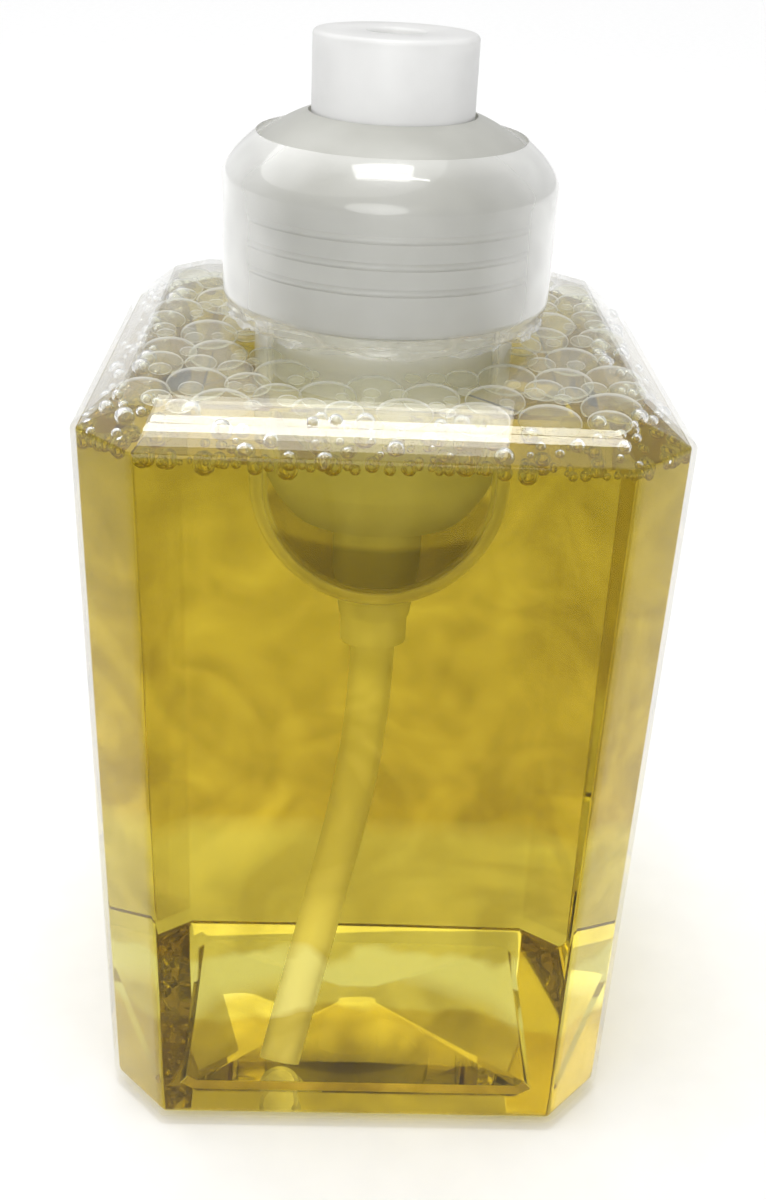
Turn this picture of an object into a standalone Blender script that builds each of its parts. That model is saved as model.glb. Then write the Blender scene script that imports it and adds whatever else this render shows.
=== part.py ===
# Foaming hand soap refill pack: a square clear bottle of liquid soap with a screwed-on foam pump.
# Units are metres and +Z is up. The origin is the centre of the base and the bottle's front faces -Y.

import math

import bmesh
import bpy
from mathutils import Vector

# Bottle body
BODY_WIDTH = 0.0800
BODY_DEPTH = 0.0777
CORNER_CHAMFER = 0.0087
EDGE_ROUND = 0.0020
SHOULDER_HEIGHT = 0.1157
BEVEL_RISE = 0.0055
BEVEL_INSET = 0.0072
WALL = 0.0008

# Bottle base
HEEL_RADIUS = 0.0030
STANDING_RING_WIDTH = 0.0080
PUSH_UP_STEP = 0.0012
PUSH_UP_RISE = 0.0050
APEX_WIDTH = 0.0064
BASE_WALL = 0.0011

# Bottle neck and its thread
NECK_RADIUS = 0.0204
NECK_WALL = 0.0015
NECK_HEIGHT = 0.0165
NECK_FILLET = 0.0028
THREAD_PITCH = 0.0042
THREAD_TURNS = 1.5
THREAD_PROUD = 0.0006
THREAD_ROOT_WIDTH = 0.0014
THREAD_CREST_WIDTH = 0.0006
THREAD_START_RISE = 0.0078
THREAD_ROOM = 0.0009

# Contents
LIQUID_DROP = 0.0064
SEAT_GAP = 0.0003

# Seal between the neck and the pump
GASKET_THICKNESS = 0.0010

# Pump housing
AIR_CYLINDER_WALL = 0.0008
AIR_CYLINDER_LENGTH = 0.0384
FLANGE_OVERHANG = 0.0002
FLANGE_THICKNESS = 0.0013
LIQUID_CYLINDER_RADIUS = 0.0064
LIQUID_CYLINDER_WALL = 0.0010
LIQUID_CYLINDER_RISE = 0.0051
TAPER_DROP = 0.0023
TAPER_LENGTH = 0.0079
SOCKET_WALL = 0.0013
SOCKET_DEPTH = 0.0044
BALL_RADIUS = 0.0024
BALL_SEAT_WIDTH = 0.0009

# Dip tube, which has a set: it bends towards the base's front left and then runs straight
TUBE_RADIUS = 0.0033
TUBE_WALL = 0.0007
TUBE_BEND_RADIUS = 0.0720
TUBE_END_LEFT = 0.0128
TUBE_END_FRONT_GAP = 0.0147
TUBE_END_HEIGHT = 0.0055

# Plunger
STROKE = 0.0080
PISTON_FLOOR_DROP = 0.0126
PISTON_CLEARANCE = 0.0014
PISTON_WALL = 0.0008
PISTON_LIP_RISE = 0.0151
STEM_RADIUS = 0.0030
STEM_WALL = 0.0012
LIQUID_PISTON_LENGTH = 0.0050
LIQUID_PISTON_DEPTH = 0.0060
STEM_HEAD_LENGTH = 0.0040
AIR_VALVE_THICKNESS = 0.0006

# Return spring
SPRING_CLEARANCE = 0.0006
SPRING_WIRE_RADIUS = 0.0004
SPRING_TURNS = 5

# Screw collar
COLLAR_WALL = 0.0009
COLLAR_FOOT_GAP = 0.0044
LEDGE_THICKNESS = 0.0005
DOME_RISE = 0.0088
DOME_SIDE_PULL = 0.0026
DOME_TOP_PULL = 0.0046
DOME_TOP_DROP = 0.0014
RING_COUNT = 3
FIRST_RING_RISE = 0.0061
RING_SPACING = 0.0033
RING_PROUD = 0.00035
RING_WIDTH = 0.0010

# Actuator head
HEAD_RADIUS = 0.0110
HEAD_CLEARANCE = 0.0004
HEAD_WALL = 0.0012
HEAD_RISE = 0.0101
HEAD_SKIRT_DEPTH = 0.0082
HEAD_FLANGE_WIDTH = 0.0013
HEAD_FLANGE_THICKNESS = 0.0010
OUTLET_DEPTH = 0.0050
OUTLET_LEDGE_WIDTH = 0.0014
FOAM_CHAMBER_DEPTH = 0.0173
CARTRIDGE_RADIUS = 0.0051
CARTRIDGE_WALL = 0.0010
MESH_THICKNESS = 0.0004

# Shrink band around the collar
BAND_THICKNESS = 0.00025
BAND_DROP = 0.0030
BAND_COVER = 0.55

# Facets
CORNER_STEPS = 3
ROUND_STEPS = 8 * (CORNER_STEPS + 1)
SMALL_STEPS = 16
TUBE_SIDES = 12
TUBE_BEND_STEPS = 6
COIL_SIDES = 5
COIL_STEPS = 10

# Sizes that follow from the ones above, for the bottle
HALF_WIDTH = BODY_WIDTH / 2
HALF_DEPTH = BODY_DEPTH / 2
PLATE_HEIGHT = SHOULDER_HEIGHT + BEVEL_RISE
NECK_TOP = PLATE_HEIGHT + NECK_HEIGHT
NECK_BORE_RADIUS = NECK_RADIUS - NECK_WALL
THREAD_START = PLATE_HEIGHT + THREAD_START_RISE
LIQUID_LEVEL = PLATE_HEIGHT - LIQUID_DROP

# Pump housing and tube
FLANGE_RADIUS = NECK_RADIUS + FLANGE_OVERHANG
FLANGE_BOTTOM = NECK_TOP + GASKET_THICKNESS + 2 * SEAT_GAP
FLANGE_TOP = FLANGE_BOTTOM + FLANGE_THICKNESS
AIR_CYLINDER_RADIUS = NECK_BORE_RADIUS - SEAT_GAP
AIR_CYLINDER_BORE = AIR_CYLINDER_RADIUS - AIR_CYLINDER_WALL
BOWL_CENTRE_HEIGHT = FLANGE_BOTTOM - AIR_CYLINDER_LENGTH
LIQUID_CYLINDER_BORE = LIQUID_CYLINDER_RADIUS - LIQUID_CYLINDER_WALL
LIQUID_CYLINDER_TOP = BOWL_CENTRE_HEIGHT + LIQUID_CYLINDER_RISE
TAPER_BOTTOM = BOWL_CENTRE_HEIGHT - AIR_CYLINDER_RADIUS - TAPER_DROP
TAPER_TOP = TAPER_BOTTOM + TAPER_LENGTH
SOCKET_BORE = TUBE_RADIUS + SEAT_GAP
SOCKET_RADIUS = SOCKET_BORE + SOCKET_WALL
SOCKET_BOTTOM = TAPER_BOTTOM - SOCKET_DEPTH
BALL_ORIFICE_RADIUS = BALL_RADIUS - BALL_SEAT_WIDTH
TUBE_END = Vector((-TUBE_END_LEFT, TUBE_END_FRONT_GAP - HALF_DEPTH, 0.0))

# Plunger and spring
PISTON_CENTRE_HEIGHT = BOWL_CENTRE_HEIGHT + STROKE
PISTON_FLOOR_HEIGHT = PISTON_CENTRE_HEIGHT - PISTON_FLOOR_DROP
PISTON_LIP_HEIGHT = PISTON_CENTRE_HEIGHT + PISTON_LIP_RISE
PISTON_SWEEP = AIR_CYLINDER_BORE - SEAT_GAP
PISTON_RADIUS = AIR_CYLINDER_BORE - PISTON_CLEARANCE
STEM_BORE_RADIUS = STEM_RADIUS - STEM_WALL
LIQUID_PISTON_HEIGHT = LIQUID_CYLINDER_TOP - LIQUID_PISTON_DEPTH
SPRING_RADIUS = LIQUID_CYLINDER_BORE - SPRING_CLEARANCE - SPRING_WIRE_RADIUS

# Collar, head and band
COLLAR_BORE = NECK_RADIUS + THREAD_ROOM
COLLAR_RADIUS = COLLAR_BORE + COLLAR_WALL
COLLAR_BOTTOM = PLATE_HEIGHT + COLLAR_FOOT_GAP
LEDGE_HEIGHT = FLANGE_TOP + SEAT_GAP
COLLAR_SHOULDER = LEDGE_HEIGHT + LEDGE_THICKNESS
COLLAR_TOP = COLLAR_SHOULDER + DOME_RISE
HEAD_HOLE_RADIUS = HEAD_RADIUS + HEAD_CLEARANCE
HEAD_TOP = COLLAR_TOP + HEAD_RISE
HEAD_BOTTOM = COLLAR_TOP - HEAD_SKIRT_DEPTH
STEM_HEAD_HEIGHT = HEAD_TOP - FOAM_CHAMBER_DEPTH
CARTRIDGE_BORE = CARTRIDGE_RADIUS + SEAT_GAP
OUTLET_RADIUS = CARTRIDGE_RADIUS - OUTLET_LEDGE_WIDTH
BAND_BOTTOM = COLLAR_BOTTOM - BAND_DROP


# Materials

def material(name, color, roughness, transmission=0.0, ior=1.45):
    made = bpy.data.materials.new(name)
    made.use_nodes = True
    shader = made.node_tree.nodes["Principled BSDF"]
    shader.inputs["Base Color"].default_value = (*color, 1.0)
    shader.inputs["Roughness"].default_value = roughness
    shader.inputs["Transmission Weight"].default_value = transmission
    shader.inputs["IOR"].default_value = ior
    made.diffuse_color = (*color, 1.0 - 0.6 * transmission)
    return made


# Outlines and meshes

def clear_scene():
    for old in list(bpy.data.objects):
        bpy.data.objects.remove(old, do_unlink=True)


def arc(centre, radius, start_deg, end_deg, steps):
    """Points of an arc in a section, as (radius from the axis, height)."""
    points = []
    for step in range(steps + 1):
        angle = math.radians(start_deg + (end_deg - start_deg) * step / steps)
        points.append((centre[0] + radius * math.cos(angle), centre[1] + radius * math.sin(angle)))
    return points


def circle_ring(radius, height, steps=ROUND_STEPS):
    """A level ring whose points pair up with those of body_ring."""
    start = math.pi / 8 - math.pi * CORNER_STEPS / steps
    ring = []
    for step in range(steps):
        angle = start + 2 * math.pi * step / steps
        ring.append((radius * math.cos(angle), radius * math.sin(angle), height))
    return ring


def body_ring(inset, height):
    """A level ring of the square body with cut, slightly rounded corners, moved in by an inset."""
    half_x = HALF_WIDTH - inset
    half_y = HALF_DEPTH - inset
    cut = CORNER_CHAMFER - inset * (2 - math.sqrt(2))
    rounding = max(EDGE_ROUND - inset, EDGE_ROUND / 4)
    setback = rounding * math.tan(math.pi / 8)
    ring = []
    for quarter in range(4):
        turned = quarter % 2 == 1
        along, across = (half_y, half_x) if turned else (half_x, half_y)
        corners = [((along, across - cut), 0.0), ((along - cut, across), math.pi / 4)]
        for (x, y), heading in corners:
            ring.extend(rounded_corner(x, y, heading, rounding, setback, quarter * math.pi / 2, height))
    return ring


def rounded_corner(x, y, heading, rounding, setback, turn, height):
    """An arc of 45 degrees that rounds off the corner at (x, y), turned about the axis."""
    centre_x = x - rounding * math.cos(heading) + setback * math.sin(heading)
    centre_y = y - rounding * math.sin(heading) - setback * math.cos(heading)
    points = []
    for step in range(CORNER_STEPS + 1):
        angle = heading + math.pi / 4 * step / CORNER_STEPS
        px = centre_x + rounding * math.cos(angle)
        py = centre_y + rounding * math.sin(angle)
        points.append((px * math.cos(turn) - py * math.sin(turn),
                       px * math.sin(turn) + py * math.cos(turn), height))
    return points


def new_object(name, bm, mat):
    """Finish a bmesh as one object whose faces point outwards."""
    bmesh.ops.remove_doubles(bm, verts=bm.verts, dist=1e-7)
    bmesh.ops.recalc_face_normals(bm, faces=bm.faces)
    mesh = bpy.data.meshes.new(name)
    bm.to_mesh(mesh)
    bm.free()
    mesh.materials.append(mat)
    mesh.shade_smooth()
    mesh.set_sharp_from_angle(angle=math.radians(30))
    made = bpy.data.objects.new(name, mesh)
    bpy.context.scene.collection.objects.link(made)
    return made


def loft(rings, closed=False):
    """Skin a row of rings; the ends are capped, or joined to each other if the row is closed."""
    bm = bmesh.new()
    rows = [[bm.verts.new(point) for point in ring] for ring in rings]
    count = len(rings[0])
    pairs = list(zip(rows, rows[1:]))
    if closed:
        pairs.append((rows[-1], rows[0]))
    else:
        bm.faces.new(rows[0])
        bm.faces.new(rows[-1])
    for lower, upper in pairs:
        for i in range(count):
            j = (i + 1) % count
            bm.faces.new((lower[i], lower[j], upper[j], upper[i]))
    return bm


def turned(name, outline, mat, steps=ROUND_STEPS):
    """Turn a closed outline of (radius, height) points round the Z axis."""
    return new_object(name, loft([circle_ring(r, z, steps) for r, z in outline], closed=True), mat)


def combine(target, other, operation):
    """Cut one solid out of another, or merge it in, and hide it."""
    modifier = target.modifiers.new(operation.lower(), "BOOLEAN")
    modifier.operation = operation
    modifier.solver = "EXACT"
    modifier.object = other
    other.hide_render = True
    other.display_type = "WIRE"


def thread_ridge(name, root, crest, offset, mat):
    """A helical ridge from a root radius to a crest radius, raised by an offset."""
    steps = round(THREAD_TURNS * ROUND_STEPS)
    start = math.pi / 8 - math.pi * CORNER_STEPS / ROUND_STEPS
    bury = SEAT_GAP if crest < root else -SEAT_GAP
    section = ((root + bury, -THREAD_ROOT_WIDTH / 2), (crest, -THREAD_CREST_WIDTH / 2),
               (crest, THREAD_CREST_WIDTH / 2), (root + bury, THREAD_ROOT_WIDTH / 2))
    rings = []
    for step in range(steps + 1):
        turn = 2 * math.pi * step / ROUND_STEPS
        height = THREAD_START + offset + THREAD_PITCH * turn / (2 * math.pi)
        rings.append([(r * math.cos(start + turn), r * math.sin(start + turn), height + rise)
                      for r, rise in section])
    return new_object(name, loft(rings), mat)

# Bottle and contents

def heel_rings(skin, floor):
    """The rings of the rounded heel, from the flat of the base up to the side wall."""
    radius = HEEL_RADIUS - skin
    rings = []
    for step in range(4):
        angle = math.pi / 2 * step / 3
        inset = skin + radius * (1 - math.sin(angle))
        rings.append(body_ring(inset, floor + radius * (1 - math.cos(angle))))
    return rings


def push_up_rings(floor):
    """The rings of the raised four-sided base, from its blunt apex out to the standing ring."""
    frame_inset = HEEL_RADIUS + STANDING_RING_WIDTH
    panel_inset = frame_inset + PUSH_UP_STEP
    panel = body_ring(panel_inset, floor + PUSH_UP_STEP)
    share = APEX_WIDTH / (BODY_WIDTH - 2 * panel_inset)
    apex = [(x * share, y * share, floor + PUSH_UP_RISE) for x, y, z in panel]
    return [apex, panel, body_ring(frame_inset, floor)]


def neck_fillet_rings(skin):
    """The rings of the hollow curve between the shoulder plate and the neck."""
    centre = (NECK_RADIUS + NECK_FILLET, PLATE_HEIGHT + NECK_FILLET)
    section = arc(centre, NECK_FILLET + skin, 270, 180, 4)
    return [circle_ring(r, z) for r, z in section]


def make_bottle(mat):
    outer = push_up_rings(0.0)
    outer += heel_rings(0.0, 0.0)
    outer.append(body_ring(0.0, SHOULDER_HEIGHT))
    outer.append(body_ring(BEVEL_INSET, PLATE_HEIGHT))
    outer += neck_fillet_rings(0.0)
    outer.append(circle_ring(NECK_RADIUS, NECK_TOP))
    inner = push_up_rings(BASE_WALL)
    inner += heel_rings(WALL, BASE_WALL)
    inner.append(body_ring(WALL, SHOULDER_HEIGHT - WALL / 2))
    inner.append(body_ring(BEVEL_INSET, PLATE_HEIGHT - WALL))
    inner.append(circle_ring(NECK_BORE_RADIUS, PLATE_HEIGHT - WALL))
    inner.append(circle_ring(NECK_BORE_RADIUS, NECK_TOP))
    bottle = new_object("bottle", loft(outer + inner[::-1]), mat)
    combine(bottle, thread_ridge("neck_thread", NECK_RADIUS, NECK_RADIUS + THREAD_PROUD, 0.0, mat), "UNION")
    return bottle


def make_liquid(mat):
    skin = WALL + SEAT_GAP
    rings = push_up_rings(BASE_WALL + SEAT_GAP)
    rings += heel_rings(skin, BASE_WALL + SEAT_GAP)
    rings.append(body_ring(skin, LIQUID_LEVEL))
    liquid = new_object("liquid_soap", loft(rings), mat)
    combine(liquid, make_pump_hollow(mat), "DIFFERENCE")
    combine(liquid, make_tube_hollow(mat), "DIFFERENCE")
    return liquid


def make_froth(mat):
    """The layer of foam between the liquid and the shoulder, round the pump."""
    skin = WALL + SEAT_GAP
    bottom = LIQUID_LEVEL + SEAT_GAP
    top = PLATE_HEIGHT - WALL - SEAT_GAP
    hole = AIR_CYLINDER_RADIUS + SEAT_GAP
    rings = [
        body_ring(skin, bottom),
        body_ring(skin, SHOULDER_HEIGHT - WALL),
        body_ring(BEVEL_INSET + SEAT_GAP, top),
        circle_ring(hole, top),
        circle_ring(hole, bottom),
    ]
    return new_object("soap_froth", loft(rings, closed=True), mat)


# Pump housing and what it carries

def bowl_height(radius, shell):
    """Height of the bowl's underside at a distance from the axis, on a shell of the given radius."""
    return BOWL_CENTRE_HEIGHT - math.sqrt(shell ** 2 - radius ** 2)


def bowl_arc(shell, radius, steps=5):
    """The bowl's section on one shell, from its meeting with a radius near the axis to its side."""
    start = 270 + math.degrees(math.asin(radius / shell))
    return arc((0.0, BOWL_CENTRE_HEIGHT), shell, start, 360, steps)


def taper_radius(height):
    """Outer radius of the liquid cylinder, which narrows to the tube socket."""
    share = min(max((height - TAPER_BOTTOM) / (TAPER_TOP - TAPER_BOTTOM), 0.0), 1.0)
    return SOCKET_RADIUS + SEAT_GAP + (LIQUID_CYLINDER_RADIUS - SOCKET_RADIUS - SEAT_GAP) * share


def make_pump_hollow(mat):
    """The room that the housing takes up in the liquid."""
    shell = AIR_CYLINDER_RADIUS + SEAT_GAP
    waist = taper_radius(bowl_height(SOCKET_RADIUS, shell)) + SEAT_GAP
    section = [(SOCKET_RADIUS + SEAT_GAP, SOCKET_BOTTOM - SEAT_GAP),
               (SOCKET_RADIUS + SEAT_GAP, TAPER_BOTTOM - SEAT_GAP),
               (taper_radius(TAPER_BOTTOM) + SEAT_GAP, TAPER_BOTTOM - SEAT_GAP)]
    section += bowl_arc(shell, waist)
    section.append((shell, LIQUID_LEVEL + WALL))
    return new_object("pump_hollow", loft([circle_ring(r, z) for r, z in section]), mat)


def make_housing(mat):
    outer_waist = taper_radius(bowl_height(SOCKET_RADIUS, AIR_CYLINDER_RADIUS))
    inner_waist = taper_radius(bowl_height(SOCKET_RADIUS, AIR_CYLINDER_BORE))
    cage = BALL_RADIUS + 2 * SEAT_GAP
    seat_height = SOCKET_BOTTOM + SOCKET_DEPTH
    outline = [(FLANGE_RADIUS, FLANGE_TOP), (FLANGE_RADIUS, FLANGE_BOTTOM),
               (AIR_CYLINDER_RADIUS, FLANGE_BOTTOM)]
    outline += bowl_arc(AIR_CYLINDER_RADIUS, outer_waist)[::-1]
    outline += [(taper_radius(TAPER_BOTTOM), TAPER_BOTTOM), (SOCKET_RADIUS, TAPER_BOTTOM),
                (SOCKET_RADIUS, SOCKET_BOTTOM), (SOCKET_BORE, SOCKET_BOTTOM),
                (SOCKET_BORE, seat_height), (BALL_ORIFICE_RADIUS, seat_height),
                (BALL_ORIFICE_RADIUS, seat_height + WALL),
                (cage, seat_height + WALL + cage - BALL_ORIFICE_RADIUS),
                (cage, spring_foot() - SEAT_GAP - LIQUID_CYLINDER_WALL),
                (SPRING_RADIUS - SPRING_WIRE_RADIUS, spring_foot() - SEAT_GAP),
                (LIQUID_CYLINDER_BORE, spring_foot() - SEAT_GAP), (LIQUID_CYLINDER_BORE, LIQUID_CYLINDER_TOP),
                (LIQUID_CYLINDER_RADIUS, LIQUID_CYLINDER_TOP), (LIQUID_CYLINDER_RADIUS, TAPER_TOP)]
    outline += bowl_arc(AIR_CYLINDER_BORE, inner_waist)
    outline.append((AIR_CYLINDER_BORE, FLANGE_TOP))
    return turned("pump_housing", outline, mat)


def make_gasket(mat):
    bottom = NECK_TOP + SEAT_GAP
    top = bottom + GASKET_THICKNESS
    bore = AIR_CYLINDER_RADIUS + SEAT_GAP
    outline = [(FLANGE_RADIUS, bottom), (FLANGE_RADIUS, top), (bore, top), (bore, bottom)]
    return turned("neck_gasket", outline, mat)


def make_inlet_ball(mat):
    """The ball that shuts the foot of the liquid cylinder, lying on its cone."""
    cone_point = SOCKET_BOTTOM + SOCKET_DEPTH + WALL - BALL_ORIFICE_RADIUS
    height = cone_point + (BALL_RADIUS + SEAT_GAP) * math.sqrt(2)
    return make_ball("inlet_ball", BALL_RADIUS, height, mat)


def make_ball(name, radius, height, mat):
    bm = bmesh.new()
    bmesh.ops.create_icosphere(bm, subdivisions=2, radius=radius)
    bmesh.ops.translate(bm, verts=bm.verts, vec=(0.0, 0.0, height))
    return new_object(name, bm, mat)


# Dip tube

def tube_slant():
    """Slant of the tube's straight part, at which its end lands on its place above the base."""
    drop = SOCKET_BOTTOM - TUBE_END_HEIGHT
    short = TUBE_BEND_RADIUS - TUBE_END.length
    return math.asin(TUBE_BEND_RADIUS / math.hypot(drop, short)) - math.atan2(short, drop)


def tube_stations(beyond):
    """Slants and centre points along the tube: its bend, then its end, moved on by a length."""
    lean = TUBE_END.normalized()
    full_slant = tube_slant()
    stations = []
    for step in range(TUBE_BEND_STEPS + 1):
        slant = full_slant * step / TUBE_BEND_STEPS
        centre = lean * (TUBE_BEND_RADIUS * (1 - math.cos(slant)))
        centre.z = SOCKET_BOTTOM - TUBE_BEND_RADIUS * math.sin(slant)
        stations.append((slant, centre))
    run = lean * math.sin(full_slant) - Vector((0.0, 0.0, math.cos(full_slant)))
    straight = (stations[-1][1].z - TUBE_END_HEIGHT) / math.cos(full_slant)
    stations.append((full_slant, stations[-1][1] + run * (straight + beyond)))
    return stations


def tube_rings(radius, plug_in, beyond=0.0):
    """Rings square to the tube, the first one raised into the socket."""
    lean = TUBE_END.normalized()
    level = Vector((-lean.y, lean.x, 0.0))
    stations = tube_stations(beyond)
    stations.insert(0, (0.0, Vector((0.0, 0.0, SOCKET_BOTTOM + plug_in))))
    rings = []
    for slant, centre in stations:
        across = lean * math.cos(slant) + Vector((0.0, 0.0, math.sin(slant)))
        ring = []
        for side in range(TUBE_SIDES):
            turn = 2 * math.pi * side / TUBE_SIDES
            ring.append(centre + level * (radius * math.sin(turn)) + across * (radius * math.cos(turn)))
        rings.append(ring)
    return rings


def make_dip_tube(mat):
    plug_in = SOCKET_DEPTH - SEAT_GAP
    outer = tube_rings(TUBE_RADIUS, plug_in)
    inner = tube_rings(TUBE_RADIUS - TUBE_WALL, plug_in)
    return new_object("dip_tube", loft(outer + inner[::-1], closed=True), mat)


def make_tube_hollow(mat):
    """The room that the dip tube takes up in the liquid."""
    rings = tube_rings(TUBE_RADIUS + SEAT_GAP, SOCKET_DEPTH / 2, SEAT_GAP)
    return new_object("tube_hollow", loft(rings), mat)


# Plunger

def spring_foot():
    """Height at which the spring stands in the liquid cylinder."""
    cage_top = SOCKET_BOTTOM + SOCKET_DEPTH + WALL + 2 * BALL_RADIUS + 4 * SEAT_GAP
    return cage_top + SEAT_GAP


def make_spring(mat):
    foot = spring_foot() + SPRING_WIRE_RADIUS
    head = LIQUID_PISTON_HEIGHT - SEAT_GAP - SPRING_WIRE_RADIUS
    total = SPRING_TURNS * COIL_STEPS
    rings = []
    for step in range(total + 1):
        turn = 2 * math.pi * step / COIL_STEPS
        outward = Vector((math.cos(turn), math.sin(turn), 0.0))
        centre = outward * SPRING_RADIUS + Vector((0.0, 0.0, foot + (head - foot) * step / total))
        ring = []
        for side in range(COIL_SIDES):
            angle = 2 * math.pi * side / COIL_SIDES
            rise = Vector((0.0, 0.0, SPRING_WIRE_RADIUS * math.sin(angle)))
            ring.append(centre + outward * (SPRING_WIRE_RADIUS * math.cos(angle)) + rise)
        rings.append(ring)
    return new_object("return_spring", loft(rings), mat)


def make_liquid_piston(mat):
    radius = LIQUID_CYLINDER_BORE - SEAT_GAP
    bottom = LIQUID_PISTON_HEIGHT
    top = bottom + LIQUID_PISTON_LENGTH
    floor = bottom + LIQUID_CYLINDER_WALL
    socket = STEM_RADIUS + SEAT_GAP
    waist = radius - SEAT_GAP
    outline = [(radius, bottom), (radius, bottom + WALL), (waist, bottom + 2 * WALL),
               (waist, top - 2 * WALL), (radius, top - WALL), (radius, top), (socket, top),
               (socket, floor), (STEM_BORE_RADIUS, floor), (STEM_BORE_RADIUS, bottom)]
    return turned("liquid_piston", outline, mat, SMALL_STEPS)


def hub_height():
    """Height of the air piston's web, which clears the liquid cylinder at full stroke."""
    return LIQUID_CYLINDER_TOP + STROKE + SEAT_GAP


def make_air_piston(mat):
    """A cup whose rounded floor meets the housing's bowl when the head is fully pressed."""
    inner_wall = LIQUID_CYLINDER_RADIUS + 2 * SEAT_GAP
    bore = STEM_RADIUS + SEAT_GAP
    hub_radius = bore + 1.5 * PISTON_WALL
    web = hub_height()
    hub_top = web + 4 * PISTON_WALL
    centre = (0.0, PISTON_CENTRE_HEIGHT)
    floor_edge = math.sqrt(PISTON_SWEEP ** 2 - PISTON_FLOOR_DROP ** 2)
    start = 270 + math.degrees(math.asin(floor_edge / PISTON_SWEEP))
    end = 270 + math.degrees(math.asin(PISTON_RADIUS / PISTON_SWEEP))
    outline = [(inner_wall, PISTON_FLOOR_HEIGHT)]
    outline += arc(centre, PISTON_SWEEP, start, end, 4)
    outline += [(PISTON_RADIUS, PISTON_LIP_HEIGHT - 4 * PISTON_WALL), (PISTON_SWEEP, PISTON_LIP_HEIGHT),
                (PISTON_SWEEP - PISTON_WALL, PISTON_LIP_HEIGHT),
                (PISTON_RADIUS - PISTON_WALL, PISTON_LIP_HEIGHT - 5 * PISTON_WALL)]
    outline += arc(centre, PISTON_SWEEP - PISTON_WALL, start, end, 4)[::-1]
    inside_wall = inner_wall + PISTON_WALL
    outline += [(inside_wall, PISTON_FLOOR_HEIGHT + PISTON_WALL), (inside_wall, web + PISTON_WALL),
                (hub_radius, web + PISTON_WALL), (hub_radius, hub_top), (bore, hub_top), (bore, web),
                (inner_wall, web)]
    return turned("air_piston", outline, mat)


def make_air_valve(mat):
    """The soft ring that lies on the air piston's web round its hub."""
    bottom = hub_height() + PISTON_WALL + SEAT_GAP
    top = bottom + AIR_VALVE_THICKNESS
    bore = STEM_RADIUS + 2 * SEAT_GAP + 1.5 * PISTON_WALL
    rim = LIQUID_CYLINDER_RADIUS + 4 * PISTON_WALL
    outline = [(bore, bottom), (rim, bottom), (rim, top), (bore, top)]
    return turned("air_valve", outline, mat, SMALL_STEPS)


def outlet_seat_height():
    """Height of the outlet ball's seat, inside the stem's head."""
    return STEM_HEAD_HEIGHT - STEM_HEAD_LENGTH


def make_stem(mat):
    """The hollow stem that joins both pistons to the head and holds the outlet ball."""
    bottom = LIQUID_PISTON_HEIGHT + LIQUID_CYLINDER_WALL + SEAT_GAP
    shoulder = hub_height() + 4 * PISTON_WALL + SEAT_GAP
    shoulder_radius = STEM_RADIUS + 1.5 * PISTON_WALL
    head_top = STEM_HEAD_HEIGHT + STEM_HEAD_LENGTH
    seat = outlet_seat_height()
    cage = STEM_BORE_RADIUS + PISTON_WALL
    outline = [(STEM_RADIUS, bottom), (STEM_RADIUS, shoulder), (shoulder_radius, shoulder),
               (shoulder_radius, shoulder + PISTON_WALL), (STEM_RADIUS, shoulder + 2 * PISTON_WALL),
               (STEM_RADIUS, seat - PISTON_WALL), (cage + PISTON_WALL, seat),
               (cage + PISTON_WALL, STEM_HEAD_HEIGHT), (CARTRIDGE_RADIUS, STEM_HEAD_HEIGHT),
               (CARTRIDGE_RADIUS, head_top), (cage, head_top), (cage, seat + PISTON_WALL),
               (STEM_BORE_RADIUS, seat), (STEM_BORE_RADIUS, bottom)]
    return turned("piston_stem", outline, mat, SMALL_STEPS)


def make_outlet_ball(mat):
    radius = STEM_BORE_RADIUS + PISTON_WALL - 2 * SEAT_GAP
    cone_point = outlet_seat_height() - STEM_BORE_RADIUS
    height = cone_point + (radius + SEAT_GAP) * math.sqrt(2)
    return make_ball("outlet_ball", radius, height, mat)


def cartridge_span():
    """Lowest and highest height of the mesh cartridge, between the two meshes."""
    bottom = STEM_HEAD_HEIGHT + STEM_HEAD_LENGTH + 2 * SEAT_GAP + MESH_THICKNESS
    top = HEAD_TOP - OUTLET_DEPTH - 2 * SEAT_GAP - MESH_THICKNESS
    return bottom, top


def make_cartridge(mat):
    bottom, top = cartridge_span()
    bore = CARTRIDGE_RADIUS - CARTRIDGE_WALL
    outline = [(CARTRIDGE_RADIUS, bottom), (CARTRIDGE_RADIUS, top), (bore, top), (bore, bottom)]
    return turned("mesh_cartridge", outline, mat, SMALL_STEPS)


def make_mesh_disc(name, bottom, rings_of_holes, mat):
    """A round net, drawn as a thin disc with rings of holes round a middle one."""
    pitch = (CARTRIDGE_RADIUS - CARTRIDGE_WALL) / (rings_of_holes + 0.5)
    disc = [circle_ring(CARTRIDGE_RADIUS, bottom + share * MESH_THICKNESS, SMALL_STEPS) for share in (0, 1)]
    net = new_object(name, loft(disc), mat)
    holes = bmesh.new()
    for ring in range(rings_of_holes + 1):
        for place in range(max(6 * ring, 1)):
            angle = 2 * math.pi * place / max(6 * ring, 1)
            made = bmesh.ops.create_cone(holes, cap_ends=True, segments=4, radius1=0.4 * pitch,
                                         radius2=0.4 * pitch, depth=3 * MESH_THICKNESS)
            centre = (ring * pitch * math.cos(angle), ring * pitch * math.sin(angle),
                      bottom + MESH_THICKNESS / 2)
            bmesh.ops.translate(holes, verts=made["verts"], vec=centre)
    combine(net, new_object(name + "_holes", holes, mat), "DIFFERENCE")
    return net


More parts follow.
